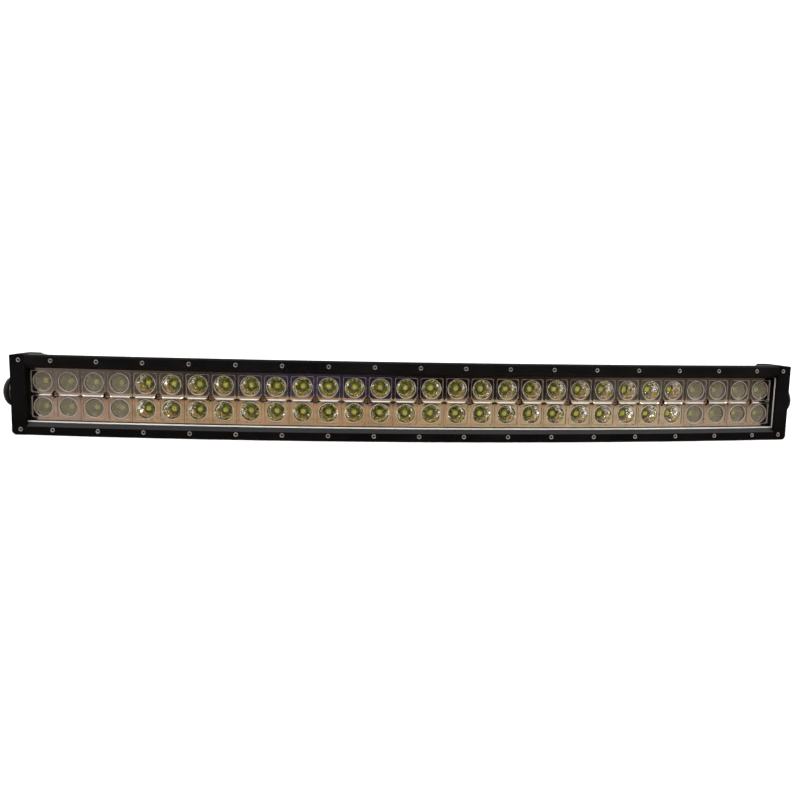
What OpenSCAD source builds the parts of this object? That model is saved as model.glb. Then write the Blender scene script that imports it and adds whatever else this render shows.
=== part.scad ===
// Curved double-row LED light bar for a truck, on two tilting end brackets.
// The origin is the middle of the tilt axis. +X runs along the bar, -Y is the way it shines.
// Along the bar a place is given as s, its distance on the front curve from the middle;
// depth is measured from the front of the bezel towards the back, square to the curve.

/* [Bar] */
// Radius of the front curve
arc_radius = 2600; // [2200:50:4000]
// Number of reflector modules, two LED columns each
module_count = 15; // [9:2:19]
// Distance between neighbouring modules on the front curve
module_pitch = 50; // [50:0.5:52]
// Flood modules at each end of the bar
flood_modules = 2; // [1:1:3]
// Height of the bezel
bar_height = 76; // [74:1:80]
// Depth of the bar at its longest fins
bar_depth = 60; // [56:1:66]

/* [Bezel] */
// Thickness of the lip that holds the lens
lip_thickness = 3; // [2.5:0.1:3.2]
// Whole thickness of the bezel
bezel_thickness = 6.5; // [6.3:0.1:7]
// Half the height of the lens opening
opening_half = 26; // [25.5:0.1:26.5]
// Height of the sloping inner edge of the rails
bevel_height = 4; // [2:0.5:4]
// Screws in each rail
rail_screws = 17; // [9:2:21]
// Distance from the last rail screw to the corner screw
corner_screw_step = 31; // [30:0.5:32]
// Height of the screw rows above and below the middle
screw_height = 33; // [32.9:0.1:33.5]

/* [Optics] */
// Diameter of a reflector cup at its rim
cup_diameter = 18; // [17:0.5:19]
// Distance between the two rows of LEDs
row_pitch = 24.5; // [24:0.1:25]
// Width of an LED package
led_size = 5; // [4:0.1:5]

/* [Brackets] */
// Thickness of the bracket steel
steel = 4; // [3:0.5:5]
// Half the width of a bracket leg
leg_half = 14; // [13:0.5:18]
// Length of the foot, from the leg's inner face to its tip
foot_length = 26; // [26:1:44]
// Diameter of the mounting hole in each foot
foot_hole = 8.5; // [6.5:0.5:10.5]
// Diameter of the domed cap over each pivot bolt
cap_diameter = 28; // [26:0.5:29]

/* [Cable] */
// Diameter of the power cable
cable_diameter = 6.4; // [6:0.1:6.6]
// Length of the cable's straight run along the back
cable_run = 110; // [60:5:200]

/* [Hidden] */

$fn = 64;
sweep_fn = 2160;
tiny = 0.05;   // gap between pieces that bear on each other
slip = 0.1;    // gap between pieces that slip together

// The curve
lit_length = module_count * module_pitch;
housing_half = lit_length / 2 - 0.5;
end_length = 13.5;                       // bezel end and cap beyond the housing's cut end
bar_half = housing_half + end_length;
pivot_depth = 27;
pivot_setback = arc_radius - (arc_radius - pivot_depth) * cos(arc_deg(bar_half));
centre_y = arc_radius - pivot_setback;

// Depths, front to back
lens_front = lip_thickness + slip;
lens_back = lens_front + 3;
seal_front = lens_back + slip;
seal_back = seal_front + 2.4;
shelf_depth = seal_back + slip;
flange_front = bezel_thickness + slip;
flange_back = 12;
reflector_front = 10.5;
cell_floor = 11.6;
screw_head_front = 12.8;
cup_bottom = 3.7;
led_height = 2.3;
diffuser_back = 14.4;
reflector_back = 22.2;
board_front = 22.4;
board_thickness = 1.6;
web_front = 24;
driver_front = 27;
driver_board_front = 33.6;
driver_back = 36;
base_back = 40;

// Heights
frame_half = bar_height / 2;
body_half = 34;
seat_half = 31;
lens_half = 30.5;
chamber_half = 25.9;
reflector_half = 25;
driver_half = 20;
slot_half = 21.5;

// Fins: lengthwise blades, the outer ones shorter
fin_steps = 5;
fin_pitch = 6.6;
fin_thickness = 2;
fin_shortening = 0.35;

// Fasteners
m25_hole = 2.7;
m25_shank = 2.5;
m25_head = 4.5;
m25_head_height = 2;
m25_length = 11;
m3_shank = 3;
m4_shank = 4;
rail_reach = housing_half - 25.9;
rail_step = 2 * rail_reach / (rail_screws - 1);
corner_screw_s = rail_reach + corner_screw_step;
cap_screw_spots = [[16, 29.5], [16, -29.5], [32, 27], [32, -27]];

// Reflector modules
module_width = 49.4;
cell_half = 10.9;
led_offset = 12.35;
module_reach = (module_count - 1) / 2;
spot_reach = module_reach - flood_modules;

// Pivot stack, measured along X
boss_face = (arc_radius - pivot_depth) * sin(arc_deg(bar_half)) + 4;
boss_radius = 14;
rubber_thickness = 1.5;
leg_face = boss_face + rubber_thickness + 2 * tiny;
washer_face = leg_face + steel + tiny;
washer_thickness = 1.5;
head_face = washer_face + washer_thickness + tiny;
m10_shank = 10;
m10_head_height = 5;
m10_across_flats = 16;
m10_length = 20;
dome_top = head_face + 8.7;

// Back of the bar
gland_s = 0;
vent_s = -70;
gland_pocket = 12.5;
vent_pocket = 9;
bend_radius = 18;
cable_turn_y = bar_depth - pivot_setback + 8;

function arc_deg(s) = s / arc_radius * 180 / PI;

// ---- Places ----

// Sweeps an outline of depth against height along the curve
module along_arc(s_from, s_to)
    translate([0, centre_y, 0])
        rotate([0, 0, arc_deg(s_from) - 90])
            rotate_extrude(angle = arc_deg(s_to - s_from), $fn = sweep_fn)
                translate([arc_radius, 0])
                    mirror([1, 0])
                        children();

// Puts a piece on the curve: its X runs along the bar, its Y into the depth
module at_arc(s, depth = 0, height = 0)
    translate([0, centre_y, 0])
        rotate([0, 0, arc_deg(s)])
            translate([0, depth - arc_radius, height])
                children();

// Puts a piece on the housing's cut right end
module at_right_end()
    at_arc(housing_half)
        children();

// Makes the left twin of a right-hand piece
module on_left()
    mirror([1, 0, 0])
        children();

// A cylinder that runs into the depth from where it is placed
module deep_cylinder(diameter, length)
    rotate([-90, 0, 0])
        cylinder(d = diameter, h = length);

// A cylinder along X between two planes, on the tilt axis
module axis_cylinder(diameter, x_from, x_to)
    translate([x_from, 0, 0])
        rotate([0, 90, 0])
            cylinder(d = diameter, h = x_to - x_from);

// A box given by its two corners
module span(from, to)
    translate(from)
        cube(to - from);

// A rectangle given by its two corners
module flat_span(from, to)
    translate(from)
        square(to - from);

// A socket screw with its head's face at the origin, pointing into the depth
module socket_screw(shank, head, head_height, length, socket)
    difference() {
        union() {
            deep_cylinder(head - 0.8, head_height);
            translate([0, 0.4, 0])
                deep_cylinder(head, head_height - 0.4);
            deep_cylinder(shank, length);
        }
        translate([0, -1, 0])
            rotate([-90, 0, 0])
                cylinder(d = socket, h = 1 + head_height * 0.6, $fn = 6);
    }

// ---- Housing and end caps ----

module fins()
    for (i = [-fin_steps : fin_steps])
        flat_span([base_back - 1, i * fin_pitch - fin_thickness / 2],
                  [bar_depth - fin_shortening * i * i, i * fin_pitch + fin_thickness / 2]);

module housing_outline()
    difference() {
        union() {
            flat_span([flange_front, -frame_half], [flange_back, frame_half]);
            flat_span([flange_front, -body_half], [base_back, body_half]);
            fins();
        }
        flat_span([flange_front - 1, -seat_half], [shelf_depth, seat_half]);
        flat_span([flange_front - 1, -chamber_half], [web_front, chamber_half]);
        flat_span([driver_front, -driver_half], [driver_back, driver_half]);
        flat_span([driver_board_front - slip, -slot_half],
                  [driver_board_front + board_thickness + slip, slot_half]);
    }

module cap_screw_holes(diameter, e_from, e_to)
    for (spot = cap_screw_spots)
        translate([e_from, spot[0], spot[1]])
            rotate([0, 90, 0])
                cylinder(d = diameter, h = e_to - e_from);

module housing()
    color("#26262a")
        difference() {
            along_arc(-housing_half, housing_half)
                housing_outline();
            for (i = [0 : rail_screws - 1], side = [-1, 1])
                at_arc(i * rail_step - rail_reach, flange_front - 1, side * screw_height)
                    deep_cylinder(m25_shank + slip, 7);
            for (i = [-module_reach : module_reach])
                at_arc(i * module_pitch, web_front - 1)
                    deep_cylinder(m3_shank + slip, driver_front - web_front + 2);
            for (side = [-1, 1])
                at_arc(side * (spot_reach + 0.9) * module_pitch, web_front - 1, 19)
                    deep_cylinder(4, driver_front - web_front + 2);
            at_arc(gland_s, base_back)
                deep_cylinder(2 * gland_pocket, bar_depth);
            at_arc(gland_s, driver_back - 1)
                deep_cylinder(12 + slip, base_back);
            at_arc(vent_s, base_back)
                deep_cylinder(2 * vent_pocket, bar_depth);
            at_arc(vent_s, driver_back - 1)
                deep_cylinder(8 + slip, base_back);
            at_right_end()
                cap_screw_holes(m4_shank + slip, -17, 1);
            on_left()
                at_right_end()
                    cap_screw_holes(m4_shank + slip, -17, 1);
        }

// Side outline of the end cap, depth against height
module cap_side_outline() {
    plateau_back = 36;
    rear_back = bar_depth + 0.5;
    polygon([
        [flange_front, -frame_half], [plateau_back, -frame_half],
        [plateau_back + 4, -body_half], [rear_back - 8, -body_half],
        [rear_back, 8 - body_half], [rear_back, body_half - 8],
        [rear_back - 8, body_half], [plateau_back + 4, body_half],
        [plateau_back, frame_half], [flange_front, frame_half]
    ]);
}

// The lip that slips over the housing, seen from above: the outer corner is a round
module cap_lip_outline() {
    corner = 4;
    back = 36.5;
    front = flange_back + 3 * slip;
    polygon([
        [1, front], [end_length, front], [end_length, back - corner],
        [end_length - corner, back], [6, back], [1, back - 3],
        [3 - 0.84 * (back - front), front]
    ]);
    translate([end_length - corner, back - corner])
        circle(r = corner);
}

module right_cap_body()
    at_right_end()
        difference() {
            union() {
                intersection() {
                    translate([1 + 2 * tiny, 0, 0])
                        rotate([90, 0, 90])
                            linear_extrude(end_length)
                                cap_side_outline();
                    translate([0, bar_depth + 5, 0])
                        rotate([90, 0, 0])
                            linear_extrude(bar_depth + 5)
                                bar_end_outline(0);
                }
                for (side = [0, 1])
                    mirror([0, 0, side])
                        translate([0, 0, body_half + slip])
                            linear_extrude(frame_half - body_half - slip)
                                cap_lip_outline();
            }
            // Seat of the lens and its seal
            span([-1, 0, -seat_half], [8.5, shelf_depth, seat_half]);
            // End screws of the cap, with room for their heads
            cap_screw_holes(m4_shank + 0.4, 0, end_length + 1);
            cap_screw_holes(8.4, end_length - 4.5, end_length + 1);
            for (side = [-1, 1])
                translate([corner_screw_s - housing_half, flange_front - 1, side * screw_height])
                    deep_cylinder(m25_shank + slip, 7);
        }

module right_cap()
    difference() {
        union() {
            right_cap_body();
            axis_cylinder(2 * boss_radius, boss_face - 8, boss_face);
        }
        axis_cylinder(m10_shank + slip, head_face - m10_length - 1.5, boss_face + 1);
    }

module right_end_cap()
    color("#202024")
        right_cap();

module left_end_cap()
    color("#202024")
        on_left()
            right_cap();

module end_gasket()
    at_right_end()
        translate([tiny, 0, 0])
            difference() {
                rotate([90, 0, 90])
                    linear_extrude(1)
                        difference() {
                            flat_span([shelf_depth + slip, -body_half + 0.5],
                                      [base_back - 0.5, body_half - 0.5]);
                            flat_span([0, -chamber_half], [web_front, chamber_half]);
                            flat_span([driver_front, -slot_half], [driver_back, slot_half]);
                        }
                cap_screw_holes(m4_shank + 0.4, -1, 2);
            }

module right_end_gasket()
    color("#3a3a3c")
        end_gasket();

module left_end_gasket()
    color("#3a3a3c")
        on_left()
            end_gasket();

module right_cap_screws()
    at_right_end()
        for (spot = cap_screw_spots)
            translate([end_length - 0.3, spot[0], spot[1]])
                rotate([0, 0, 90])
                    socket_screw(m4_shank, 7, 4, 22, 3);

module end_cap_screws()
    color("#8c8c90") {
        right_cap_screws();
        on_left()
            right_cap_screws();
    }

// ---- Bezel ----

// Outline of the top rail, depth against height
module rail_outline()
    polygon([
        [0, opening_half + bevel_height], [0, frame_half - 1], [1, frame_half],
        [bezel_thickness, frame_half], [bezel_thickness, seat_half],
        [lip_thickness, seat_half], [lip_thickness, opening_half]
    ]);

module rail_screw_holes()
    for (i = [0 : rail_screws - 1])
        at_arc(i * rail_step - rail_reach, 0, screw_height)
            bezel_screw_hole();

module bezel_screw_hole() {
    translate([0, -1, 0])
        deep_cylinder(m25_hole, bezel_thickness + 2);
    translate([0, -1, 0])
        deep_cylinder(m25_head + 0.4, m25_head_height + 1.2);
}

module rail()
    difference() {
        along_arc(1 - housing_half, housing_half - 1)
            rail_outline();
        rail_screw_holes();
    }

module top_bezel_rail()
    color("#1c1b1d")
        rail();

module bottom_bezel_rail()
    color("#1c1b1d")
        mirror([0, 0, 1])
            rail();

// Front outline of a bar end from a given place outwards: crisp top corner, rounder bottom corner
module bar_end_outline(inner) {
    top = 1.2;
    bottom = 4;
    flat_span([inner, -frame_half], [end_length - bottom, frame_half]);
    flat_span([inner, bottom - frame_half], [end_length - top, frame_half]);
    flat_span([inner, bottom - frame_half], [end_length, frame_half - top]);
    translate([end_length - top, frame_half - top])
        circle(r = top);
    translate([end_length - bottom, bottom - frame_half])
        circle(r = bottom);
}

module bezel_end()
    at_right_end()
        difference() {
            translate([0, bezel_thickness, 0])
                rotate([90, 0, 0])
                    linear_extrude(bezel_thickness)
                        bar_end_outline(-1 + slip);
            span([-2, lip_thickness, -seat_half], [8.5, bezel_thickness + 1, seat_half]);
            for (side = [-1, 1])
                translate([corner_screw_s - housing_half, 0, side * screw_height])
                    bezel_screw_hole();
        }

module right_bezel_end()
    color("#1c1b1d")
        bezel_end();

module left_bezel_end()
    color("#1c1b1d")
        on_left()
            bezel_end();

module bezel_screw()
    translate([0, 0.15, 0])
        socket_screw(m25_shank, m25_head, m25_head_height, m25_length, 2);

module corner_screws()
    at_right_end()
        for (side = [-1, 1])
            translate([corner_screw_s - housing_half, 0, side * screw_height])
                bezel_screw();

module bezel_screws()
    color("#b9b9bb") {
        for (i = [0 : rail_screws - 1], side = [-1, 1])
            at_arc(i * rail_step - rail_reach, 0, side * screw_height)
                bezel_screw();
        corner_screws();
        on_left()
            corner_screws();
    }

// ---- Lens and seal ----

module lens()
    color([0.9, 0.93, 0.95, 0.25])
        along_arc(-housing_half - 8, housing_half + 8)
            flat_span([lens_front, -lens_half], [lens_back, lens_half]);

// Seal outline on the top side: its inner edge slopes in towards the back, down to a lip
module seal_outline(lip)
    polygon([
        [seal_front, opening_half + 0.2], [seal_front, lens_half],
        [seal_back, lens_half], [seal_back, opening_half - lip]
    ]);

// Strip across the end of the seal, seen from above, just inside the thickness of the long strips
module seal_end()
    at_right_end()
        linear_extrude(2 * lens_half - 1, center = true)
            polygon([
                [2.6, seal_front + tiny], [7.5, seal_front + tiny],
                [7.5, seal_back - tiny], [2.2, seal_back - tiny]
            ]);

module lens_gasket()
    color("#e8e6e0")
        union() {
            along_arc(-housing_half - 8, housing_half + 8)
                seal_outline(0);
            along_arc(-housing_half - 8, housing_half + 8)
                mirror([0, 1])
                    seal_outline(0.35);
            seal_end();
            on_left()
                seal_end();
        }

// ---- Reflectors, diffusers and LEDs ----

// One reflector cup to cut out: a bowl in three cones, with a seat for a diffuser if it is a flood
module cup(flood)
    rotate([-90, 0, 0])
        rotate_extrude()
            polygon([
                [0, cell_floor - 0.5],
                [cup_diameter / 2, cell_floor - 0.5],
                [cup_diameter / 2, flood ? diffuser_back : cell_floor + 0.4],
                [cup_diameter / 2 - (flood ? 0.9 : 0), flood ? diffuser_back : cell_floor + 0.4],
                [cup_diameter * 0.42, flood ? diffuser_back + 1.5 : 15],
                [cup_diameter * 0.32, 19],
                [cup_bottom, reflector_back + 1],
                [0, reflector_back + 1]
            ]);

module cell_spots()
    for (column = [-1, 1], row = [-1, 1])
        translate([column * led_offset, 0, row * row_pitch / 2])
            children();

module reflector_block(flood)
    difference() {
        span([-module_width / 2, reflector_front, -reflector_half],
             [module_width / 2, reflector_back, reflector_half]);
        cell_spots() {
            span([-cell_half, reflector_front - 1, -cell_half], [cell_half, cell_floor, cell_half]);
            cup(flood);
        }
        translate([0, reflector_front - 1, 0])
            deep_cylinder(m3_shank + 0.4, reflector_back);
        translate([0, reflector_front - 1, 0])
            deep_cylinder(6.4, screw_head_front + 2.1 - reflector_front + 1);
    }

module flood_blocks()
    difference() {
        for (i = [spot_reach + 1 : module_reach])
            at_arc(i * module_pitch)
                reflector_block(true);
        at_right_end()
            span([-0.9, 0, -frame_half], [5, bar_depth, frame_half]);
    }

module right_flood_reflectors()
    color("#c9c4c2")
        flood_blocks();

module left_flood_reflectors()
    color("#c9c4c2")
        on_left()
            flood_blocks();

module spot_reflectors()
    color("#cfc8b6")
        for (i = [-spot_reach : spot_reach])
            at_arc(i * module_pitch)
                reflector_block(false);

module right_diffusers()
    for (i = [spot_reach + 1 : module_reach])
        at_arc(i * module_pitch)
            cell_spots()
                translate([0, diffuser_back - tiny - 1.6, 0])
                    deep_cylinder(cup_diameter - 0.3, 1.6);

module flood_diffusers()
    color([0.8, 0.78, 0.8, 0.6]) {
        right_diffusers();
        on_left()
            right_diffusers();
    }

module reflector_screws()
    color("#6b5a4a")
        for (i = [-module_reach : module_reach])
            at_arc(i * module_pitch, screw_head_front)
                socket_screw(m3_shank, 5.6, 2, 13, 2.4);

module led_board(s_from, s_to)
    difference() {
        along_arc(s_from, s_to)
            flat_span([board_front, 1 - reflector_half],
                      [board_front + board_thickness - tiny, reflector_half - 1]);
        for (i = [-module_reach : module_reach])
            at_arc(i * module_pitch, board_front - 1)
                deep_cylinder(m3_shank + 0.4, 5);
        for (side = [-1, 1])
            at_arc(side * (spot_reach + 0.9) * module_pitch, board_front - 1, 19)
                deep_cylinder(3, 5);
    }

board_split = (spot_reach + 0.5) * module_pitch;

module left_led_board()
    color("#e9ebe6")
        led_board(1 - housing_half, -board_split - 0.2);

module centre_led_board()
    color("#e9ebe6")
        led_board(0.2 - board_split, board_split - 0.2);

module right_led_board()
    color("#e9ebe6")
        led_board(board_split + 0.2, housing_half - 1);

// An LED: square package with a round dome towards the front
module led()
    translate([0, board_front - tiny, 0]) {
        translate([-led_size / 2, -led_height, -led_size / 2])
            cube([led_size, led_height, led_size]);
        translate([0, 0.1 - led_height, 0])
            intersection() {
                sphere(d = led_size - 0.3);
                span([-3, -3, -3], [3, 0, 3]);
            }
    }

module led_emitters()
    color("#d8d24a")
        for (i = [-module_reach : module_reach])
            at_arc(i * module_pitch)
                cell_spots()
                    led();

// ---- Driver ----

driver_from = 16;
driver_to = 136;
part_back = driver_board_front - tiny;

// Two wires from the driver board through the web to each outer LED board
module board_wires()
    color("#a03028")
        for (side = [-1, 1])
            at_arc(side * (spot_reach + 0.9) * module_pitch, board_front, 19)
                for (offset = [-0.7, 0.7])
                    translate([offset, 0, 0])
                        deep_cylinder(1.3, driver_front - board_front + 2);

module driver_board()
    color("#2f6b45")
        along_arc(driver_from, driver_to)
            flat_span([driver_board_front, tiny - slot_half],
                      [driver_board_front + board_thickness, slot_half - tiny]);

module driver_coils()
    color("#8a4b2a")
        for (s = [40, 66])
            at_arc(s, part_back - 5.5, 8)
                difference() {
                    deep_cylinder(13, 5.5);
                    translate([0, -1, 0])
                        deep_cylinder(5, 8);
                }

module driver_capacitors()
    color("#22304f")
        for (s = [92, 104, 116])
            at_arc(s, part_back - 5.8, -8)
                deep_cylinder(9, 5.8);

module driver_chips()
    color("#1b1b1b")
        for (spot = [[44, -9], [68, -9], [104, 9]])
            at_arc(spot[0], part_back - 1.6, spot[1])
                span([-4.5, 0, -3], [4.5, 1.6, 3]);

// ---- Cable, gland, connector and vent ----

module cable_gland()
    color("#1f1f21")
        at_arc(gland_s)
            difference() {
                union() {
                    translate([0, driver_back + 0.3, 0])
                        deep_cylinder(12, base_back - driver_back);
                    translate([0, base_back + tiny, 0])
                        rotate([-90, 0, 0])
                            cylinder(d = 19, h = 5, $fn = 6);
                    translate([0, base_back + 1, 0])
                        deep_cylinder(12.6, 12);
                }
                translate([0, driver_back - 1, 0])
                    deep_cylinder(cable_diameter + 0.4, bar_depth);
            }

module gland_seal()
    color("#3c3c3e")
        at_arc(gland_s, base_back + 13 + tiny)
            difference() {
                deep_cylinder(11.6, 3);
                translate([0, -1, 0])
                    deep_cylinder(cable_diameter + slip, 5);
            }

// Dome nut of the gland, hollow for the body's thread and the seal
module gland_nut()
    color("#1f1f21")
        at_arc(gland_s)
            difference() {
                translate([0, base_back + 5 + slip, 0]) {
                    rotate([-90, 0, 0])
                        cylinder(d = 19, h = 8, $fn = 6);
                    deep_cylinder(15.6, 12);
                    deep_cylinder(12.4, 14);
                }
                translate([0, base_back, 0])
                    deep_cylinder(12.6 + 2 * slip, 16.2);
                translate([0, base_back, 0])
                    deep_cylinder(cable_diameter + 0.6, 24);
            }

module power_cable()
    color("#161617") {
        start_y = 31 - pivot_setback;
        translate([0, start_y, 0])
            deep_cylinder(cable_diameter, cable_turn_y - start_y);
        translate([bend_radius, cable_turn_y, 0])
            rotate([0, 0, 90])
                rotate_extrude(angle = 90, $fn = 96)
                    translate([bend_radius, 0])
                        circle(d = cable_diameter);
        translate([bend_radius, cable_turn_y + bend_radius, 0])
            rotate([0, 90, 0])
                cylinder(d = cable_diameter, h = cable_run);
    }

// Puts a piece on the cable's far end, its Z pointing along the cable
module at_cable_end()
    translate([bend_radius + cable_run, cable_turn_y + bend_radius, 0])
        rotate([0, 90, 0])
            children();

// Two-way plug shell: a grip round the cable, then a box open at the mating end
module connector_shell()
    color("#2b2b2d")
        at_cable_end()
            difference() {
                union() {
                    translate([0, 0, -14])
                        cylinder(d = 12, h = 16);
                    span([-7.5, -9.5, 0], [7.5, 9.5, 30]);
                    span([-9, -3, 12], [0, 3, 26]);
                }
                translate([0, 0, -15])
                    cylinder(d = cable_diameter + slip, h = 18);
                span([-5.8, -7.8, 10], [5.8, 7.8, 31]);
                for (side = [-1, 1])
                    translate([0, side * 3.6, 5])
                        cylinder(d = 2.2, h = 10);
            }

module connector_lock()
    color("#c8691e")
        at_cable_end()
            difference() {
                span([-5.6, -7.6, 14], [5.6, 7.6, 18]);
                for (side = [-1, 1])
                    translate([0, side * 3.6, 0])
                        cylinder(d = 2.4, h = 30);
            }

module connector_pins()
    color("#c9b56a")
        at_cable_end()
            for (side = [-1, 1])
                translate([0, side * 3.6, 6])
                    cylinder(d = 2, h = 19);

// Pressure vent: a screw plug with a knurl-sized round head
module breather_vent()
    color("#1f1f21")
        at_arc(vent_s)
            difference() {
                union() {
                    translate([0, driver_back + 0.3, 0])
                        deep_cylinder(8, base_back - driver_back + 2);
                    translate([0, base_back + 1 + tiny, 0])
                        deep_cylinder(14, 4);
                    translate([0, base_back + 1 + tiny, 0])
                        deep_cylinder(12, 5);
                }
                translate([0, driver_back - 1, 0])
                    deep_cylinder(3, 8);
                for (angle = [0 : 60 : 300])
                    translate([0, base_back + 3, 0])
                        rotate([0, angle, 0])
                            translate([0, 1, 0])
                                rotate([0, 90, 0])
                                    cylinder(d = 1, h = 8);
            }

module breather_ring()
    color("#3c3c3e")
        at_arc(vent_s, base_back + tiny / 2)
            difference() {
                deep_cylinder(13, 1);
                translate([0, -1, 0])
                    deep_cylinder(8.2, 3);
            }

// ---- Brackets and pivots ----

// The right bracket: a leg with a round eye, a quarter bend and a foot turned outwards
module bracket()
    difference() {
        union() {
            axis_cylinder(2 * leg_half, leg_face, leg_face + steel);
            span([leg_face, 0, -leg_half], [leg_face + steel, bend_y, leg_half]);
            translate([leg_face + steel + bend_inner, bend_y, 0])
                rotate([0, 0, 90])
                    rotate_extrude(angle = 90, $fn = 96)
                        flat_span([bend_inner, -leg_half], [bend_inner + steel, leg_half]);
            span([leg_face + steel + bend_inner, pivot_setback - steel, -leg_half],
                 [leg_face + foot_length - foot_corner, pivot_setback, leg_half]);
            span([leg_face + foot_length - foot_corner - 1, pivot_setback - steel, foot_corner - leg_half],
                 [leg_face + foot_length, pivot_setback, leg_half - foot_corner]);
            for (side = [-1, 1])
                translate([leg_face + foot_length - foot_corner, pivot_setback - steel,
                           side * (leg_half - foot_corner)])
                    deep_cylinder(2 * foot_corner, steel);
        }
        axis_cylinder(m10_shank + slip, leg_face - 1, leg_face + steel + 1);
        translate([foot_hole_x, pivot_setback - steel - 1, 0])
            deep_cylinder(foot_hole, steel + 2);
    }

bend_inner = 2;
foot_corner = 6;
bend_y = pivot_setback - steel - bend_inner;
foot_hole_x = leg_face + foot_length - 10.5;

module right_bracket()
    color("#232325")
        bracket();

module left_bracket()
    color("#232325")
        on_left()
            bracket();

module pivot_bolt() {
    axis_cylinder(m10_shank, head_face - m10_length, head_face + 1);
    translate([head_face, 0, 0])
        rotate([0, 90, 0])
            cylinder(d = m10_across_flats / cos(30), h = m10_head_height, $fn = 6);
}

module right_pivot_bolt()
    color("#8c8c90")
        pivot_bolt();

module left_pivot_bolt()
    color("#8c8c90")
        on_left()
            pivot_bolt();

// Domed cap: a short round wall, a spherical crown, hollow over the bolt head
module bolt_cap() {
    wall = 3;
    crown_height = dome_top - head_face - wall;
    half = cap_diameter / 2;
    crown_radius = (half * half + crown_height * crown_height) / (2 * crown_height);
    difference() {
        union() {
            axis_cylinder(cap_diameter, head_face, head_face + wall);
            intersection() {
                translate([dome_top - crown_radius, 0, 0])
                    rotate([0, 90, 0])
                        sphere(r = crown_radius, $fn = 128);
                axis_cylinder(cap_diameter, head_face + wall - 0.01, dome_top + 1);
            }
        }
        axis_cylinder(m10_across_flats / cos(30) + 0.6, head_face - 1,
                      head_face + m10_head_height + slip);
    }
}

module right_bolt_cap()
    color("#1a1a1c")
        bolt_cap();

module left_bolt_cap()
    color("#1a1a1c")
        on_left()
            bolt_cap();

module washer(outside, x_from, x_to)
    difference() {
        axis_cylinder(outside, x_from, x_to);
        axis_cylinder(m10_shank + slip, x_from - 1, x_to + 1);
    }

module rubber_washer()
    washer(26, boss_face + tiny, boss_face + tiny + rubber_thickness);

module steel_washer()
    washer(24, washer_face, washer_face + washer_thickness);

module right_rubber_washer()
    color("#303033")
        rubber_washer();

module left_rubber_washer()
    color("#303033")
        on_left()
            rubber_washer();

module right_steel_washer()
    color("#8c8c90")
        steel_washer();

module left_steel_washer()
    color("#8c8c90")
        on_left()
            steel_washer();

// ---- The object ----

housing();
left_end_cap();
right_end_cap();
left_end_gasket();
right_end_gasket();
end_cap_screws();
top_bezel_rail();
bottom_bezel_rail();
left_bezel_end();
right_bezel_end();
bezel_screws();
lens();
lens_gasket();
left_flood_reflectors();
spot_reflectors();
right_flood_reflectors();
flood_diffusers();
reflector_screws();
left_led_board();
centre_led_board();
right_led_board();
led_emitters();
board_wires();
driver_board();
driver_coils();
driver_capacitors();
driver_chips();
cable_gland();
gland_seal();
gland_nut();
power_cable();
connector_shell();
connector_lock();
connector_pins();
breather_vent();
breather_ring();
left_bracket();
right_bracket();
left_pivot_bolt();
right_pivot_bolt();
left_bolt_cap();
right_bolt_cap();
left_rubber_washer();
right_rubber_washer();
left_steel_washer();
right_steel_washer();
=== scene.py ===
import math

import bmesh
import bpy
from mathutils import Matrix, Vector


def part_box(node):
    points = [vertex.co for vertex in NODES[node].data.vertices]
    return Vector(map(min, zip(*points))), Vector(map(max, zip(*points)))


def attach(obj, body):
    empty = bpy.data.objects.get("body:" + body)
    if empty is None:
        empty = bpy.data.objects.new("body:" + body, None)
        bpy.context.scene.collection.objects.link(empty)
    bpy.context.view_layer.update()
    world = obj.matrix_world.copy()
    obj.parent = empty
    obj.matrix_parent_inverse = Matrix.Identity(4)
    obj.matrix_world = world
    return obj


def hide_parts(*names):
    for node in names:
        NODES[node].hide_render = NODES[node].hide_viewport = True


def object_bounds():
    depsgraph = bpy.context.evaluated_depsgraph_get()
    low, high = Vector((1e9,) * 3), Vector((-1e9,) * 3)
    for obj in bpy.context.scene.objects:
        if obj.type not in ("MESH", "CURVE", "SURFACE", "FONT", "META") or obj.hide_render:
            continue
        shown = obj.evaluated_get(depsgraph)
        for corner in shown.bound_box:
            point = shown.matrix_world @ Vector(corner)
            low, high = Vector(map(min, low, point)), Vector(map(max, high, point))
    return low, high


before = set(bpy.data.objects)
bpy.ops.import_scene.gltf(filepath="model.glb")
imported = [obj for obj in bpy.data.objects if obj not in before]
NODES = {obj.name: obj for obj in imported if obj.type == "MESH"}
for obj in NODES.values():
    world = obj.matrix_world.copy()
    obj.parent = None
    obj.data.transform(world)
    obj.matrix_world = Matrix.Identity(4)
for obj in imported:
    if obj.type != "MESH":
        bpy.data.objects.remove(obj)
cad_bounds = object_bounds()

MM = 0.001
BAR = "light_bar"

# ---- The bar's curve, worked out from the frame ----

# Radius, front face at the middle and centre of the curve, in metres
CURVE_RADIUS = 2.6
FRONT_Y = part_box("top_bezel_rail")[0].y
CENTRE_Y = FRONT_Y + CURVE_RADIUS

# Modules stand MODULE_PITCH mm apart. They are numbered from -LAST to LAST, and those beyond
# LAST_SPOT, on both sides, are floods
MODULE_PITCH = 50
MODULES = 15
FLOOD_MODULES = 2
LAST = (MODULES - 1) // 2
LAST_SPOT = LAST - FLOOD_MODULES

# Middle of a cell from the module's middle, the module's half height, and half the housing's length, in mm
CELL_X = 12.35
CELL_Z = 12.25
MODULE_HALF_Z = 25.0
HOUSING_HALF = 374.5


def on_curve(s, depth=0.0, height=0.0):
    """Placement on the curve, in mm: X along the bar, Y into the depth, Z up."""
    turn = Matrix.Rotation(s * MM / CURVE_RADIUS, 4, "Z")
    spot = Vector((0, depth * MM - CURVE_RADIUS, height * MM))
    return Matrix.Translation((0, CENTRE_Y, 0)) @ turn @ Matrix.Translation(spot)


# ---- Mesh helpers ----


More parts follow.
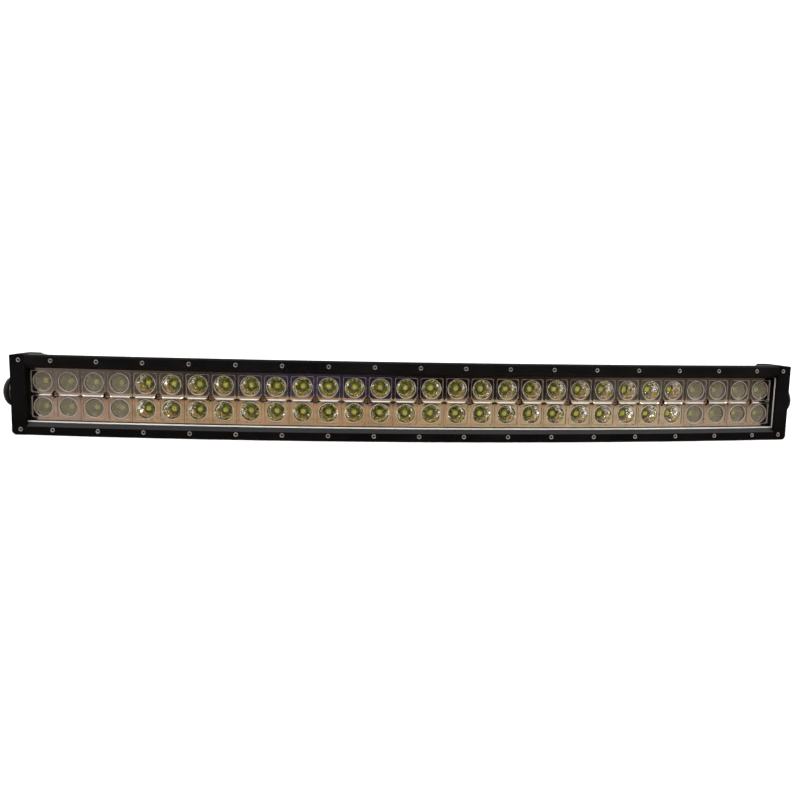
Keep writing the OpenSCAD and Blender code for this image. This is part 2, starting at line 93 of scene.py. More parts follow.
def ring(radius, depth, count):
    """A circle of points about the Y axis, in mm. radius may be a function of the angle."""
    points = []
    for i in range(count):
        angle = 2 * math.pi * i / count
        r = radius(angle) if callable(radius) else radius
        points.append((r * math.cos(angle), depth, r * math.sin(angle)))
    return points


def rings_mesh(rings):
    """A bmesh through rings of equal length, given in mm, with its ends closed by fans."""
    mesh = bmesh.new()
    rows = [[mesh.verts.new(Vector(p) * MM) for p in points] for points in rings]
    count = len(rows[0])
    for a, b in zip(rows, rows[1:]):
        for i in range(count):
            j = (i + 1) % count
            mesh.faces.new((a[i], a[j], b[j], b[i]))
    for row in (rows[0], rows[-1]):
        middle = mesh.verts.new(sum((v.co for v in row), Vector()) / count)
        for i in range(count):
            mesh.faces.new((row[i], row[(i + 1) % count], middle))
    bmesh.ops.recalc_face_normals(mesh, faces=mesh.faces)
    return mesh


def copies(template, places):
    """One bmesh holding a copy of the template at each place."""
    whole = bmesh.new()
    flat = bpy.data.meshes.new("template")
    template.to_mesh(flat)
    for place in places:
        start = len(whole.verts)
        whole.from_mesh(flat)
        whole.verts.ensure_lookup_table()
        bmesh.ops.transform(whole, matrix=place, verts=whole.verts[start:])
    bpy.data.meshes.remove(flat)
    return whole


def add_piece(name, mesh, looks, replaces, sharp=35, smooth=True):
    """Makes an object of the bmesh, riding on the bar in place of a CAD node.

    Edges over sharp degrees stay crisp. smooth False keeps the faces' own shading.
    """
    bmesh.ops.recalc_face_normals(mesh, faces=mesh.faces)
    data = bpy.data.meshes.new(name)
    mesh.to_mesh(data)
    mesh.free()
    if smooth:
        data.shade_smooth()
    data.set_sharp_from_angle(angle=math.radians(sharp))
    for look in looks:
        data.materials.append(look)
    piece = bpy.data.objects.new(name, data)
    bpy.context.collection.objects.link(piece)
    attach(piece, BAR)
    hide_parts(replaces)


def finish_node(node, material):
    """Gives a CAD node a better material."""
    for slot in NODES[node].material_slots:
        slot.material = material


# ---- Materials ----


class Nodes:
    """A small builder for shader node trees."""

    def __init__(self, tree):
        self.tree = tree

    def node(self, kind, **settings):
        made = self.tree.nodes.new(kind)
        for key, value in settings.items():
            setattr(made, key, value)
        return made

    def link(self, a, b):
        self.tree.links.new(a, b)

    def feed(self, socket, value):
        """Gives an input a value: another socket, a number or a colour."""
        if isinstance(value, (int, float)):
            socket.default_value = value
        elif isinstance(value, tuple):
            socket.default_value = (*value, 1)
        else:
            self.link(value, socket)

    def ramp(self, value, *stops):
        """Colour ramp through (position, colour) stops."""
        made = self.node("ShaderNodeValToRGB")
        bar = made.color_ramp
        while len(bar.elements) < len(stops):
            bar.elements.new(0.5)
        for element, (position, colour) in zip(bar.elements, stops):
            element.position = position
            element.color = (*colour, 1)
        self.link(value, made.inputs["Fac"])
        return made.outputs["Color"]

    def span(self, value, low, high, from_low=0.3, from_high=0.7):
        """Maps a value from one range to another."""
        made = self.node("ShaderNodeMapRange")
        made.inputs["From Min"].default_value = from_low
        made.inputs["From Max"].default_value = from_high
        made.inputs["To Min"].default_value = low
        made.inputs["To Max"].default_value = high
        self.link(value, made.inputs["Value"])
        return made.outputs["Result"]

    def math(self, operation, a, b=0.0):
        """One arithmetic node; a and b are sockets or numbers."""
        made = self.node("ShaderNodeMath", operation=operation)
        self.feed(made.inputs[0], a)
        self.feed(made.inputs[1], b)
        return made.outputs[0]

    def length(self, a, b):
        """Length of the vector whose two components are a and b."""
        return self.math("SQRT", self.math("ADD", self.math("MULTIPLY", a, a), self.math("MULTIPLY", b, b)))

    def split(self, vector):
        """The X, Y and Z of a vector."""
        made = self.node("ShaderNodeSeparateXYZ")
        self.link(vector, made.inputs[0])
        return made.outputs

    def mix(self, factor, a, b, blend_type="MIX"):
        """Mixes two colours."""
        made = self.node("ShaderNodeMix", data_type="RGBA", blend_type=blend_type)
        colours = [socket for socket in made.inputs if socket.type == "RGBA"]
        self.feed(made.inputs[0], factor)
        self.feed(colours[0], a)
        self.feed(colours[1], b)
        return next(socket for socket in made.outputs if socket.type == "RGBA")

    def mix_shader(self, factor, a, b):
        """Mixes two shaders."""
        made = self.node("ShaderNodeMixShader")
        self.link(factor, made.inputs[0])
        self.link(a.outputs[0], made.inputs[1])
        self.link(b.outputs[0], made.inputs[2])
        return made.outputs[0]


class Look(Nodes):
    """A procedural material."""

    def __init__(self, name, **values):
        self.material = bpy.data.materials.new(name)
        self.material.use_nodes = True
        super().__init__(self.material.node_tree)
        self.surface = self.tree.nodes["Principled BSDF"]
        self.output = self.tree.nodes["Material Output"].inputs["Surface"]
        self.coords = self.node("ShaderNodeTexCoord").outputs["Object"]
        for key, value in values.items():
            self.feed(self.surface.inputs[key.replace("_", " ")], value)

    def noise(self, scale, detail=3.0, rough=0.6, stretch=(1, 1, 1)):
        """Noise in object space. scale counts features per metre."""
        move = self.node("ShaderNodeMapping")
        move.inputs["Scale"].default_value = stretch
        self.link(self.coords, move.inputs["Vector"])
        made = self.node("ShaderNodeTexNoise")
        made.inputs["Scale"].default_value = scale
        made.inputs["Detail"].default_value = detail
        made.inputs["Roughness"].default_value = rough
        self.link(move.outputs["Vector"], made.inputs["Vector"])
        return made.outputs[0]

    def bump(self, height, strength, distance, soften=0.0):
        """Bump from a height, over rounded edges if soften (mm) is given."""
        made = self.node("ShaderNodeBump")
        made.inputs["Strength"].default_value = strength
        made.inputs["Distance"].default_value = distance * MM
        self.link(height, made.inputs["Height"])
        if soften:
            edge = self.node("ShaderNodeBevel", samples=6)
            edge.inputs["Radius"].default_value = soften * MM
            self.link(edge.outputs["Normal"], made.inputs["Normal"])
        self.link(made.outputs["Normal"], self.surface.inputs["Normal"])

    def colour(self, value, dark, light):
        """Base colour from a value, through two (position, colour) stops."""
        self.link(self.ramp(value, dark, light), self.surface.inputs["Base Color"])

    def roughness(self, value, low, high):
        self.link(self.span(value, low, high), self.surface.inputs["Roughness"])


def shade(tint, share):
    """A tint made darker or lighter."""
    return tuple(c * share for c in tint)


def grey(value):
    return (value, value, value)


def coated_metal(name, tint, rough, grain=0.035, soften=0.5, shine=0.4, painted_bevel_shine=None, painted_top_shine=None):
    """Satin black powder coat: fine orange peel, dust in places.

    Shine may also follow which way a face points, as painted light: sloping bevels shine more than upright
    faces, a painted highlight, and faces that point up barely shine, a painted shade.
    """
    look = Look(name, IOR=1.5, Specular_IOR_Level=shine)
    # Painted highlight and shade: how much a face shines follows how far it points up, not the light
    if painted_bevel_shine is not None:
        slope = look.split(look.node("ShaderNodeTexCoord").outputs["Normal"])["Z"]
        level = look.ramp(slope, (0.3, grey(shine)), (0.5, grey(painted_bevel_shine)), (0.75, grey(painted_bevel_shine)),
                          (0.9, grey(painted_top_shine)))
        look.link(level, look.surface.inputs["Specular IOR Level"])
    peel = look.noise(2600, 2, 0.5)
    cloud = look.noise(28, 5, 0.62)
    look.colour(cloud, (0.35, shade(tint, 0.75)), (0.7, shade(tint, 1.5)))
    look.roughness(cloud, rough - 0.07, rough + 0.09)
    look.bump(peel, 0.35, grain, soften)
    return look.material


def bright_steel(name, tint, rough):
    """Turned or plated steel: faint turning marks and blotches."""
    look = Look(name, Metallic=1.0)
    blotch = look.noise(420, 4, 0.65)
    marks = look.noise(5200, 2, 0.5, stretch=(1, 0.2, 1))
    look.colour(blotch, (0.3, shade(tint, 0.62)), (0.7, tint))
    look.roughness(blotch, rough - 0.06, rough + 0.12)
    look.bump(marks, 0.25, 0.02, soften=0.15)
    return look.material


def soft_rubber(name, tint, rough=0.6, grain=0.05):
    look = Look(name, IOR=1.45)
    speck = look.noise(1500, 4, 0.7)
    cloud = look.noise(60)
    look.colour(cloud, (0.3, shade(tint, 0.8)), (0.75, shade(tint, 1.35)))
    look.roughness(speck, rough - 0.1, rough + 0.1)
    look.bump(speck, 0.4, grain, soften=0.25)
    return look.material


def moulded_plastic(name, tint, rough=0.42, grain=0.03, shine=0.5):
    look = Look(name, IOR=1.49, Specular_IOR_Level=shine)
    grainy = look.noise(3400)
    cloud = look.noise(70)
    look.colour(cloud, (0.3, shade(tint, 0.82)), (0.75, shade(tint, 1.25)))
    look.roughness(cloud, rough - 0.06, rough + 0.08)
    look.bump(grainy, 0.35, grain, soften=0.25)
    return look.material


def chrome_plastic(name, tint, rough, metal=1.0):
    """Vacuum-metallised plastic: a mirror with slight waves and hazy patches."""
    look = Look(name, Metallic=metal)
    haze = look.noise(160, 4)
    wave = look.noise(260, 2, 0.5)
    look.colour(haze, (0.3, shade(tint, 0.86)), (0.7, tint))
    look.roughness(haze, rough * 0.8, rough * 1.25)
    look.bump(wave, 0.1, 0.12)
    return look.material


def see_through(look, tint):
    """A shader that lets light straight through, tinted."""
    clear = look.node("ShaderNodeBsdfTransparent")
    look.feed(clear.inputs["Color"], tint)
    return clear


def clear_lens(name, index, tint):
    """Clear plastic, thin: light passes straight through it, and only its outer side shines a little."""
    look = Look(name)
    look.tree.nodes.remove(look.surface)
    shine = look.node("ShaderNodeBsdfGlossy")
    look.link(look.span(look.noise(90, 4), 0.03, 0.07), shine.inputs["Roughness"])
    fresnel = look.node("ShaderNodeFresnel")
    look.feed(fresnel.inputs["IOR"], index)
    outside = look.math("SUBTRACT", 1.0, look.node("ShaderNodeNewGeometry").outputs["Backfacing"])
    share = look.math("MULTIPLY", fresnel.outputs["Fac"], outside)
    look.link(look.mix_shader(share, see_through(look, tint), shine), look.output)
    return look.material


def diffuser_plastic(name):
    """Ribbed clear plastic over a flood cup: part see-through, part milky."""
    milky = (0.22, 0.20, 0.145)
    look = Look(name, Base_Color=milky, Roughness=0.14, IOR=1.49, Specular_IOR_Level=0.7)
    cloud = look.noise(500)
    look.bump(cloud, 0.2, 0.06)
    clear = see_through(look, (0.90, 0.86, 0.80))
    look.link(look.mix_shader(look.span(cloud, 0.24, 0.34), clear, look.surface), look.output)
    return look.material


def seal_silicone(name):
    look = Look(name, IOR=1.42, Coat_Weight=0.3, Coat_Roughness=0.25)
    cloud = look.noise(90, 4)
    look.colour(cloud, (0.3, (0.48, 0.465, 0.44)), (0.7, (0.58, 0.565, 0.54)))
    look.roughness(cloud, 0.3, 0.48)
    look.bump(look.noise(900), 0.3, 0.05, soften=0.2)
    return look.material


def phosphor(name, painted_glow=0.0):
    """Yellow-green phosphor, with an optional painted glow: it emits light though the LED is off."""
    look = Look(name, IOR=1.42, Emission_Color=(0.42, 0.44, 0.05), Emission_Strength=painted_glow)
    cloud = look.noise(1300)
    look.colour(cloud, (0.3, (0.27, 0.275, 0.025)), (0.7, (0.39, 0.39, 0.05)))
    look.roughness(cloud, 0.35, 0.5)
    look.bump(cloud, 0.2, 0.02)
    return look.material


def board_white(name):
    look = Look(name, IOR=1.5)
    cloud = look.noise(120)
    look.colour(cloud, (0.3, (0.66, 0.67, 0.64)), (0.7, (0.82, 0.83, 0.80)))
    look.roughness(cloud, 0.3, 0.42)
    look.bump(look.noise(2500, 2, 0.5), 0.2, 0.02)
    return look.material


BLACK_HOUSING = coated_metal("powder_coat_housing", (0.008, 0.008, 0.009), 0.42, shine=0.35)
BLACK_CAP = coated_metal(
    "powder_coat_cap", (0.0035, 0.0034, 0.0036), 0.46,
    grain=0.05, soften=0.8, shine=0.08, painted_bevel_shine=0.1, painted_top_shine=0.02,
)
BLACK_RAIL = coated_metal(
    "powder_coat_top_rail", (0.0026, 0.0024, 0.0024), 0.30,
    grain=0.025, soften=0.35, shine=0.07, painted_bevel_shine=0.1, painted_top_shine=0.0,
)
BLACK_BEZEL = coated_metal(
    "powder_coat_bezel", (0.0022, 0.0019, 0.0019), 0.30,
    grain=0.025, soften=0.35, shine=0.025, painted_bevel_shine=0.42, painted_top_shine=0.0,
)
BLACK_BRACKET = coated_metal("powder_coat_bracket", (0.008, 0.008, 0.0085), 0.4, grain=0.04, soften=0.6)
STAINLESS = bright_steel("stainless", (0.80, 0.80, 0.81), 0.38)
ZINC = bright_steel("zinc", (0.52, 0.53, 0.55), 0.34)
BRONZE = bright_steel("bronze_screw", (0.46, 0.31, 0.24), 0.34)
# Painted shade: near-black for the insides of screw recesses, where shade falls
RECESS_PAINTED_SHADE = soft_rubber("screw_recess_painted_shade", (0.006, 0.006, 0.006), 0.7)
BRASS = bright_steel("brass_contact", (0.78, 0.58, 0.26), 0.22)
COPPER = bright_steel("enamelled_copper", (0.45, 0.17, 0.08), 0.28)
CAP_PLASTIC = moulded_plastic("cap_plastic", (0.004, 0.0038, 0.004), 0.3, 0.018, shine=0.2)
NYLON = moulded_plastic("nylon", (0.014, 0.014, 0.015), 0.48)
CONNECTOR = moulded_plastic("connector_nylon", (0.020, 0.020, 0.022), 0.5)
ORANGE = moulded_plastic("orange_nylon", (0.52, 0.13, 0.02), 0.45)
GREEN_BOARD = moulded_plastic("green_board", (0.02, 0.12, 0.05), 0.35)
CHIP = moulded_plastic("chip_epoxy", (0.012, 0.012, 0.012), 0.55)
SLEEVE = moulded_plastic("capacitor_sleeve", (0.02, 0.04, 0.12), 0.3)
WIRE = moulded_plastic("wire_sheath", (0.32, 0.02, 0.015), 0.4)
RUBBER = soft_rubber("black_rubber", (0.018, 0.018, 0.018))
SHEATH = soft_rubber("cable_sheath", (0.011, 0.011, 0.012), 0.42, 0.03)
SEAL = seal_silicone("pale_silicone")
LENS = clear_lens("clear_polycarbonate", 1.2, (0.985, 0.985, 0.98))
SPOT_CHROME = chrome_plastic("spot_chrome", (0.90, 0.86, 0.80), 0.07)
FLOOD_CHROME = chrome_plastic("flood_chrome", (0.84, 0.80, 0.78), 0.12)
FLOOD_BOWL = chrome_plastic("flood_bowl", (0.66, 0.58, 0.48), 0.45)
# Painted highlight: the lip is half diffuse and pale grey so that it reads as a bright ring all round the
# mouth
LIP_PAINTED_HIGHLIGHT = chrome_plastic("lip_painted_highlight", (0.50, 0.49, 0.475), 0.4, metal=0.5)
SATIN_CREST = chrome_plastic("satin_crest", (0.27, 0.23, 0.20), 0.3, metal=0.6)
# In the order of part_of_row: the flat parts, the bowl, the lip, the crest
SPOT_LOOKS = (SPOT_CHROME, SPOT_CHROME, LIP_PAINTED_HIGHLIGHT, SATIN_CREST)
FLOOD_LOOKS = (FLOOD_CHROME, FLOOD_BOWL, LIP_PAINTED_HIGHLIGHT, SATIN_CREST)
DIFFUSER = diffuser_plastic("ribbed_diffuser")
PHOSPHOR = phosphor("led_phosphor")
# Painted glow: the flood LEDs emit a little light though the bar is off
GLOW_PAINTED_PHOSPHOR = phosphor("phosphor_painted_glow", painted_glow=0.7)
PACKAGE = moulded_plastic("led_package", (0.15, 0.14, 0.036), 0.35)
DOME = clear_lens("led_silicone", 1.4, (0.97, 0.97, 0.9))
BOARD = board_white("led_board")

NODE_LOOKS = {
    "housing": BLACK_HOUSING, "left_end_cap": BLACK_CAP, "right_end_cap": BLACK_CAP,
    "left_end_gasket": RUBBER, "right_end_gasket": RUBBER, "end_cap_screws": ZINC,
    "top_bezel_rail": BLACK_RAIL, "bottom_bezel_rail": BLACK_BEZEL,
    "left_bezel_end": BLACK_BEZEL, "right_bezel_end": BLACK_BEZEL, "bezel_screws": STAINLESS,
    "lens": LENS, "lens_gasket": SEAL, "left_flood_reflectors": FLOOD_CHROME,
    "spot_reflectors": SPOT_CHROME, "right_flood_reflectors": FLOOD_CHROME,
    "flood_diffusers": DIFFUSER, "reflector_screws": BRONZE, "left_led_board": BOARD,
    "centre_led_board": BOARD, "right_led_board": BOARD, "led_emitters": PHOSPHOR,
    "board_wires": WIRE, "driver_board": GREEN_BOARD, "driver_coils": COPPER,
    "driver_capacitors": SLEEVE, "driver_chips": CHIP, "cable_gland": NYLON,
    "gland_seal": RUBBER, "gland_nut": NYLON, "power_cable": SHEATH,
    "connector_shell": CONNECTOR, "connector_lock": ORANGE, "connector_pins": BRASS,
    "breather_vent": NYLON, "breather_ring": RUBBER, "left_bracket": BLACK_BRACKET,
    "right_bracket": BLACK_BRACKET, "left_pivot_bolt": ZINC, "right_pivot_bolt": ZINC,
    "left_bolt_cap": CAP_PLASTIC, "right_bolt_cap": CAP_PLASTIC,
    "left_rubber_washer": RUBBER, "right_rubber_washer": RUBBER,
    "left_steel_washer": ZINC, "right_steel_washer": ZINC,
}
for node_name, node_look in NODE_LOOKS.items():
    finish_node(node_name, node_look)


# ---- Reflector modules ----

# Bowl: radius at the LED, then mouth radius and vertex depth for each kind of cup, in mm
CUP_BOTTOM = 3.4
SPOT_MOUTH = 8.8
SPOT_VERTEX = 23.6
FLOOD_MOUTH = 8.25
FLOOD_VERTEX = 23.3
FOCAL_LENGTH = 1.95
BACK_DEPTH = 22.2

# Seat that holds the diffuser in a flood's mouth
SEAT_RADIUS = 8.97
SEAT_DEPTH = 14.4
SEAT_TOP = 12.0

# Flat floor round the mouth, and the thin lip on it
FLOOR_DEPTH = 11.6
LIP_FOOT = 11.75
LIP_MIDDLE = 9.24
LIP_RADIUS = 0.26

# The floor's edges, from the cell's middle: at the sides, towards the other row, away from it
SIDE_EDGE = 10.55
INNER_EDGE = 10.35
OUTER_EDGE = 10.0

# Crest round the floor, the flat ridge outside it, and the groove between the rows
CREST_DEPTH = 10.5
CREST_RADIUS = 0.36
CREST_ARC = 0.65 * math.pi
RIDGE_DEPTH = 10.53
RIDGE_REACH = 0.8
GROOVE_DEPTH = 11.08
GROOVE_REACH = 1.1

# Boss and well of the screw at the module's middle
BOSS_RADIUS = 4.5
SCREW_WELL = 3.2

# Steps of the mesh, and how uneven a spot's facets are
CELL_STEPS = 72
LIP_STEPS = 7
CREST_STEPS = 7
FLOOD_STEPS = 14
FACETS_AROUND = 24
FACETS_DEEP = 8
FACET_PLAY = 0.065


def round_square(half_x, above, power, below=None):
    """Points of a superellipse: power 2 is an ellipse, a high power nearly a rectangle, None a rectangle.

    above and below are its half heights on the two sides of its middle.
    """
    points = []
    for i in range(CELL_STEPS):
        angle = 2 * math.pi * i / CELL_STEPS
        c, s = math.cos(angle), math.sin(angle)
        if power is None:
            size = 1 / max(abs(c), abs(s))
        else:
            size = (abs(c) ** power + abs(s) ** power) ** (-1 / power)
        half_z = above if s > 0 or below is None else below
        points.append((c * size * half_x, s * size * half_z))
    return points


def keep_clear(points, radius):
    """Pulls points towards the cell's middle until they clear a circle at the module's middle."""
    corner = Vector((-CELL_X, -CELL_Z))
    cleared = []
    for x, z in points:
        p = Vector((x, z))
        if (p - corner).length < radius:
            along = p.dot(corner)
            spare = corner.length_squared - radius * radius
            share = (along - math.sqrt(max(along * along - p.length_squared * spare, 0))) / p.length_squared
            p = p * share
        cleared.append((p.x, p.y))
    return cleared


def facet_circle(radius):
    """A circle drawn as a polygon with FACETS_AROUND sides, its corners slightly uneven."""
    side = 2 * math.pi / FACETS_AROUND
    corners = []
    for k in range(FACETS_AROUND):
        r = radius * (1 + FACET_PLAY * math.sin(12.9 * k * k + 7.3 * radius * (k + 1)))
        corners.append(Vector((r * math.cos(side * k), r * math.sin(side * k))))
    points = []
    share = CELL_STEPS // FACETS_AROUND
    for i in range(CELL_STEPS):
        a = corners[i // share]
        b = corners[(i // share + 1) % FACETS_AROUND]
        points.append(a.lerp(b, i % share / share).to_tuple())
    return points


def round_circle(radius):
    return round_square(radius, radius, 2)


def bowl_rings(flood):
    """Rings of the bowl, a paraboloid, from its back edge to its mouth. A spot's bowl is in facets."""
    circle = round_circle if flood else facet_circle
    steps = FLOOD_STEPS if flood else FACETS_DEEP
    mouth = FLOOD_MOUTH if flood else SPOT_MOUTH
    vertex = FLOOD_VERTEX if flood else SPOT_VERTEX
    rings = [(round_circle(CUP_BOTTOM - 0.1), BACK_DEPTH)]
    for i in range(steps + 1):
        radius = CUP_BOTTOM + (mouth - CUP_BOTTOM) * i / steps
        rings.append((circle(radius), vertex - radius * radius / (4 * FOCAL_LENGTH)))
    return rings


def mouth_rings(flood):
    """Rings of the cup's mouth: a flood has a seat for its diffuser, and both have a thin raised lip."""
    profile = []
    if flood:
        profile += [(FLOOD_MOUTH + 0.05, SEAT_DEPTH), (SEAT_RADIUS - 0.04, SEAT_DEPTH),
                    (SEAT_RADIUS, SEAT_DEPTH - 0.2), (SEAT_RADIUS, SEAT_TOP)]
    profile.append((LIP_MIDDLE - LIP_RADIUS, LIP_FOOT))
    for k in range(LIP_STEPS + 1):
        turn = math.pi * k / LIP_STEPS
        depth = FLOOR_DEPTH - 0.02 - LIP_RADIUS * math.sin(turn)
        profile.append((LIP_MIDDLE - LIP_RADIUS * math.cos(turn), depth))
    return [(round_circle(radius), depth) for radius, depth in profile]


def wall_ring(outward, power, depth, boss=0.0):
    """Ring at a distance outside the floor's edge, bending round the screw's boss."""
    outline = round_square(SIDE_EDGE + outward, OUTER_EDGE + outward, power, below=INNER_EDGE + outward)
    return keep_clear(outline, BOSS_RADIUS + boss), depth


def cell_rings(flood):
    """All rings of one cell: bowl, mouth, flat floor, a narrow rounded crest, then the flat ridge."""
    rings = bowl_rings(flood) + mouth_rings(flood)
    rings.append(wall_ring(-0.7, 3.4, FLOOR_DEPTH, 0.35))
    rings.append(wall_ring(-0.12, 10, FLOOR_DEPTH, 0.08))
    rings.append(wall_ring(0.0, 11, FLOOR_DEPTH))
    for k in range(CREST_STEPS + 1):
        turn = CREST_ARC * k / CREST_STEPS
        out = 0.05 + CREST_RADIUS * (1 - math.cos(turn))
        depth = CREST_DEPTH + CREST_RADIUS * (1 - math.sin(turn))
        rings.append(wall_ring(out, 12 + k, depth, -0.04 * k))
    rings.append(wall_ring(RIDGE_REACH, 22, RIDGE_DEPTH, -0.6))
    return rings


def part_of_row(number, bowl_rows, count, outer):
    """Material of a row of faces: 0 the flat parts, 1 the bowl, 2 the lip, 3 the crest.

    The crest's last row is bright only on the side towards the other row of cups.
    """
    crest_start = count - CREST_STEPS - 4
    lip_start = crest_start - LIP_STEPS - 3
    if number < bowl_rows:
        return 1
    if lip_start <= number < lip_start + LIP_STEPS:
        return 2
    crest_end = crest_start + CREST_STEPS + (1 if outer else -1)
    return 3 if crest_start <= number < crest_end else 0


def from_screw(x, z):
    """Distance of a point of the cell from the module's screw."""
    return math.hypot(x + CELL_X, z + CELL_Z)


def edge_depth(x, z):
    """Depth along a cell's outer edge: a groove between the rows, a flat ridge between the columns."""
    if from_screw(x, z) < SCREW_WELL + 0.4:
        return RIDGE_DEPTH
    share = max(0.0, 1 - (CELL_Z + z) / GROOVE_REACH)
    share *= min(1.0, (CELL_X - abs(x)) / GROOVE_REACH)
    return RIDGE_DEPTH + (GROOVE_DEPTH - RIDGE_DEPTH) * share


def outer_sides(x, z):
    """Which outer walls of the module an edge point is on: its end, its top or bottom, the screw's well."""
    at_end = x > CELL_X - 0.01
    at_top = z > MODULE_HALF_Z - CELL_Z - 0.01
    return at_end, at_top, from_screw(x, z) < SCREW_WELL + 0.02


def reflector_cell(mesh, flood, flip_x, flip_z):
    """Adds one cell to the module's mesh, mirrored into its quarter."""
    def point(x, z, depth):
        return mesh.verts.new(Vector((flip_x * (x + CELL_X), depth, flip_z * (z + CELL_Z))) * MM)

    edge = keep_clear(round_square(CELL_X, MODULE_HALF_Z - CELL_Z, None, below=CELL_Z), SCREW_WELL)
    rows = [[point(x, z, depth) for x, z in outline] for outline, depth in cell_rings(flood)]
    rows.append([point(x, z, edge_depth(x, z)) for x, z in edge])
    back = [point(x, z, BACK_DEPTH) for x, z in edge]
    bowl_rows = len(bowl_rings(flood)) - 1
    for number, (a, b) in enumerate(zip(rows, rows[1:])):
        for i in range(CELL_STEPS):
            j = (i + 1) % CELL_STEPS
            face = mesh.faces.new((a[i], a[j], b[j], b[i]))
            face.smooth = flood or number >= bowl_rows
            face.material_index = part_of_row(number, bowl_rows, len(rows), edge[i][1] > 0)
    for i in range(CELL_STEPS):
        j = (i + 1) % CELL_STEPS
        if any(a and b for a, b in zip(outer_sides(*edge[i]), outer_sides(*edge[j]))):
            mesh.faces.new((rows[-1][i], rows[-1][j], back[j], back[i]))
        mesh.faces.new((back[i], back[j], rows[0][j], rows[0][i]))


def reflector_module(flood):
    mesh = bmesh.new()
    for flip_x in (1, -1):
        for flip_z in (1, -1):
            reflector_cell(mesh, flood, flip_x, flip_z)
    bmesh.ops.remove_doubles(mesh, verts=mesh.verts, dist=2e-6)
    return mesh


def trim_end(mesh, side):
    """Cuts a module flat where the housing ends."""
    limit = on_curve(side * (HOUSING_HALF - 1.0), 10)
    normal = limit.to_3x3() @ Vector((side, 0, 0))
    cut = bmesh.ops.bisect_plane(
        mesh, geom=mesh.verts[:] + mesh.edges[:] + mesh.faces[:], dist=1e-6,
        plane_co=limit.translation, plane_no=normal, clear_outer=True,
    )
    edges = [e for e in cut["geom_cut"] if isinstance(e, bmesh.types.BMEdge)]
    bmesh.ops.holes_fill(mesh, edges=edges, sides=0)


def build_reflectors():
    spot = reflector_module(False)
    flood = reflector_module(True)
    for i in range(-LAST, LAST + 1):
        is_flood = abs(i) > LAST_SPOT
        mesh = copies(flood if is_flood else spot, [on_curve(i * MODULE_PITCH)])
        if abs(i) == LAST:
            trim_end(mesh, 1 if i > 0 else -1)
        kind = "flood" if is_flood else "spot"
        looks = FLOOD_LOOKS if is_flood else SPOT_LOOKS
        side = "right" if i > 0 else "left"
        node = f"{side}_flood_reflectors" if is_flood else "spot_reflectors"
        name = f"{kind}_reflector_{i + LAST + 1:02d}"
        # Edges of the groove's slope are over 26 degrees, and those of the lip's steps under it
        add_piece(name, mesh, looks, node, sharp=26, smooth=False)
    spot.free()
    flood.free()


def cell_places(modules):
    """Placements of the four cells of each module."""
    places = []
    for i in modules:
        for x in (-CELL_X, CELL_X):
            for z in (-CELL_Z, CELL_Z):
                places.append(on_curve(i * MODULE_PITCH) @ Matrix.Translation(Vector((x, 0, z)) * MM))
    return places


# ---- Diffusers ----

# Radius, plain rim, front of the rim, back, rise of the crown, and the ribs' height and step, in mm
DISC_RADIUS = 8.8
DISC_RIM = 0.7
DISC_FRONT = 12.95
DISC_BACK = 14.35
DISC_CROWN = 0.45
RIB_HEIGHT = 0.14
RIB_STEP = 1.9


def diffuser_template():
    """Ribbed disc: a low crown with fine concentric ribs, a plain rim and a flat back."""
    count, steps = 96, 48
    rings = []
    for k in range(1, steps + 1):
        r = (DISC_RADIUS - DISC_RIM) * k / steps
        ribs = RIB_HEIGHT * math.cos(2 * math.pi * r / RIB_STEP)
        crown = DISC_CROWN * (1 - (r / DISC_RADIUS) ** 2)
        rings.append(ring(r, DISC_FRONT - crown + 0.16 + ribs, count))
    rings += [
        ring(DISC_RADIUS - 0.5, DISC_FRONT + 0.02, count),
        ring(DISC_RADIUS - 0.15, DISC_FRONT, count),
        ring(DISC_RADIUS, DISC_FRONT + 0.2, count),
        ring(DISC_RADIUS, DISC_BACK - 0.1, count),
        ring(DISC_RADIUS - 0.1, DISC_BACK, count),
    ]
    return rings_mesh(rings)


def build_diffusers():
    template = diffuser_template()
    for side, name in ((-1, "left"), (1, "right")):
        modules = [side * i for i in range(LAST_SPOT + 1, LAST + 1)]
        for number, place in enumerate(cell_places(modules), 1):
            mesh = copies(template, [place])
            piece = f"{name}_diffuser_{number}"
            add_piece(piece, mesh, [DIFFUSER], "flood_diffusers", sharp=60)
    template.free()


# ---- LEDs ----

# Depth of each kind of package's front, the board, and half widths and dome radius, in mm
SPOT_LED_FRONT = 20.05
FLOOD_LED_FRONT = 18.2
LED_BACK = 22.34
LED_FOOT = 3.2
LED_DRUM = 2.5
LED_PHOSPHOR = 2.2
LED_DOME = 2.35
DOME_RISE = 1.9


def square_ring(half, depth, power):
    """A superellipse of points about the Y axis, in mm."""
    return [(x, depth, z) for x, z in round_square(half, half, power)]


def led_package_template(front):
    """Low round drum on a wider foot."""
    profile = [
        (LED_FOOT, LED_BACK), (LED_FOOT, LED_BACK - 0.25), (LED_DRUM, LED_BACK - 0.4),
        (LED_DRUM, front + 0.12), (LED_DRUM - 0.1, front), (1.0, front),
    ]
    return rings_mesh([square_ring(half, depth, 2) for half, depth in profile])


def led_phosphor_template(package_front):
    """Yellow pad on the package's front: a square with very round corners."""
    back = package_front - 0.01
    front = back - 0.13
    profile = [(LED_PHOSPHOR, back), (LED_PHOSPHOR, front + 0.04), (LED_PHOSPHOR - 0.04, front)]
    return rings_mesh([square_ring(half, depth, 2.6) for half, depth in profile])


def led_dome_template(front):
    """Clear dome over the phosphor."""
    count, steps = 40, 12
    rings = [ring(LED_DOME, front - 0.01, count)]
    for k in range(steps):
        angle = math.pi / 2 * k / (steps - 0.5)
        rings.append(ring(LED_DOME * math.cos(angle), front - 0.05 - DOME_RISE * math.sin(angle), count))
    return rings_mesh(rings)


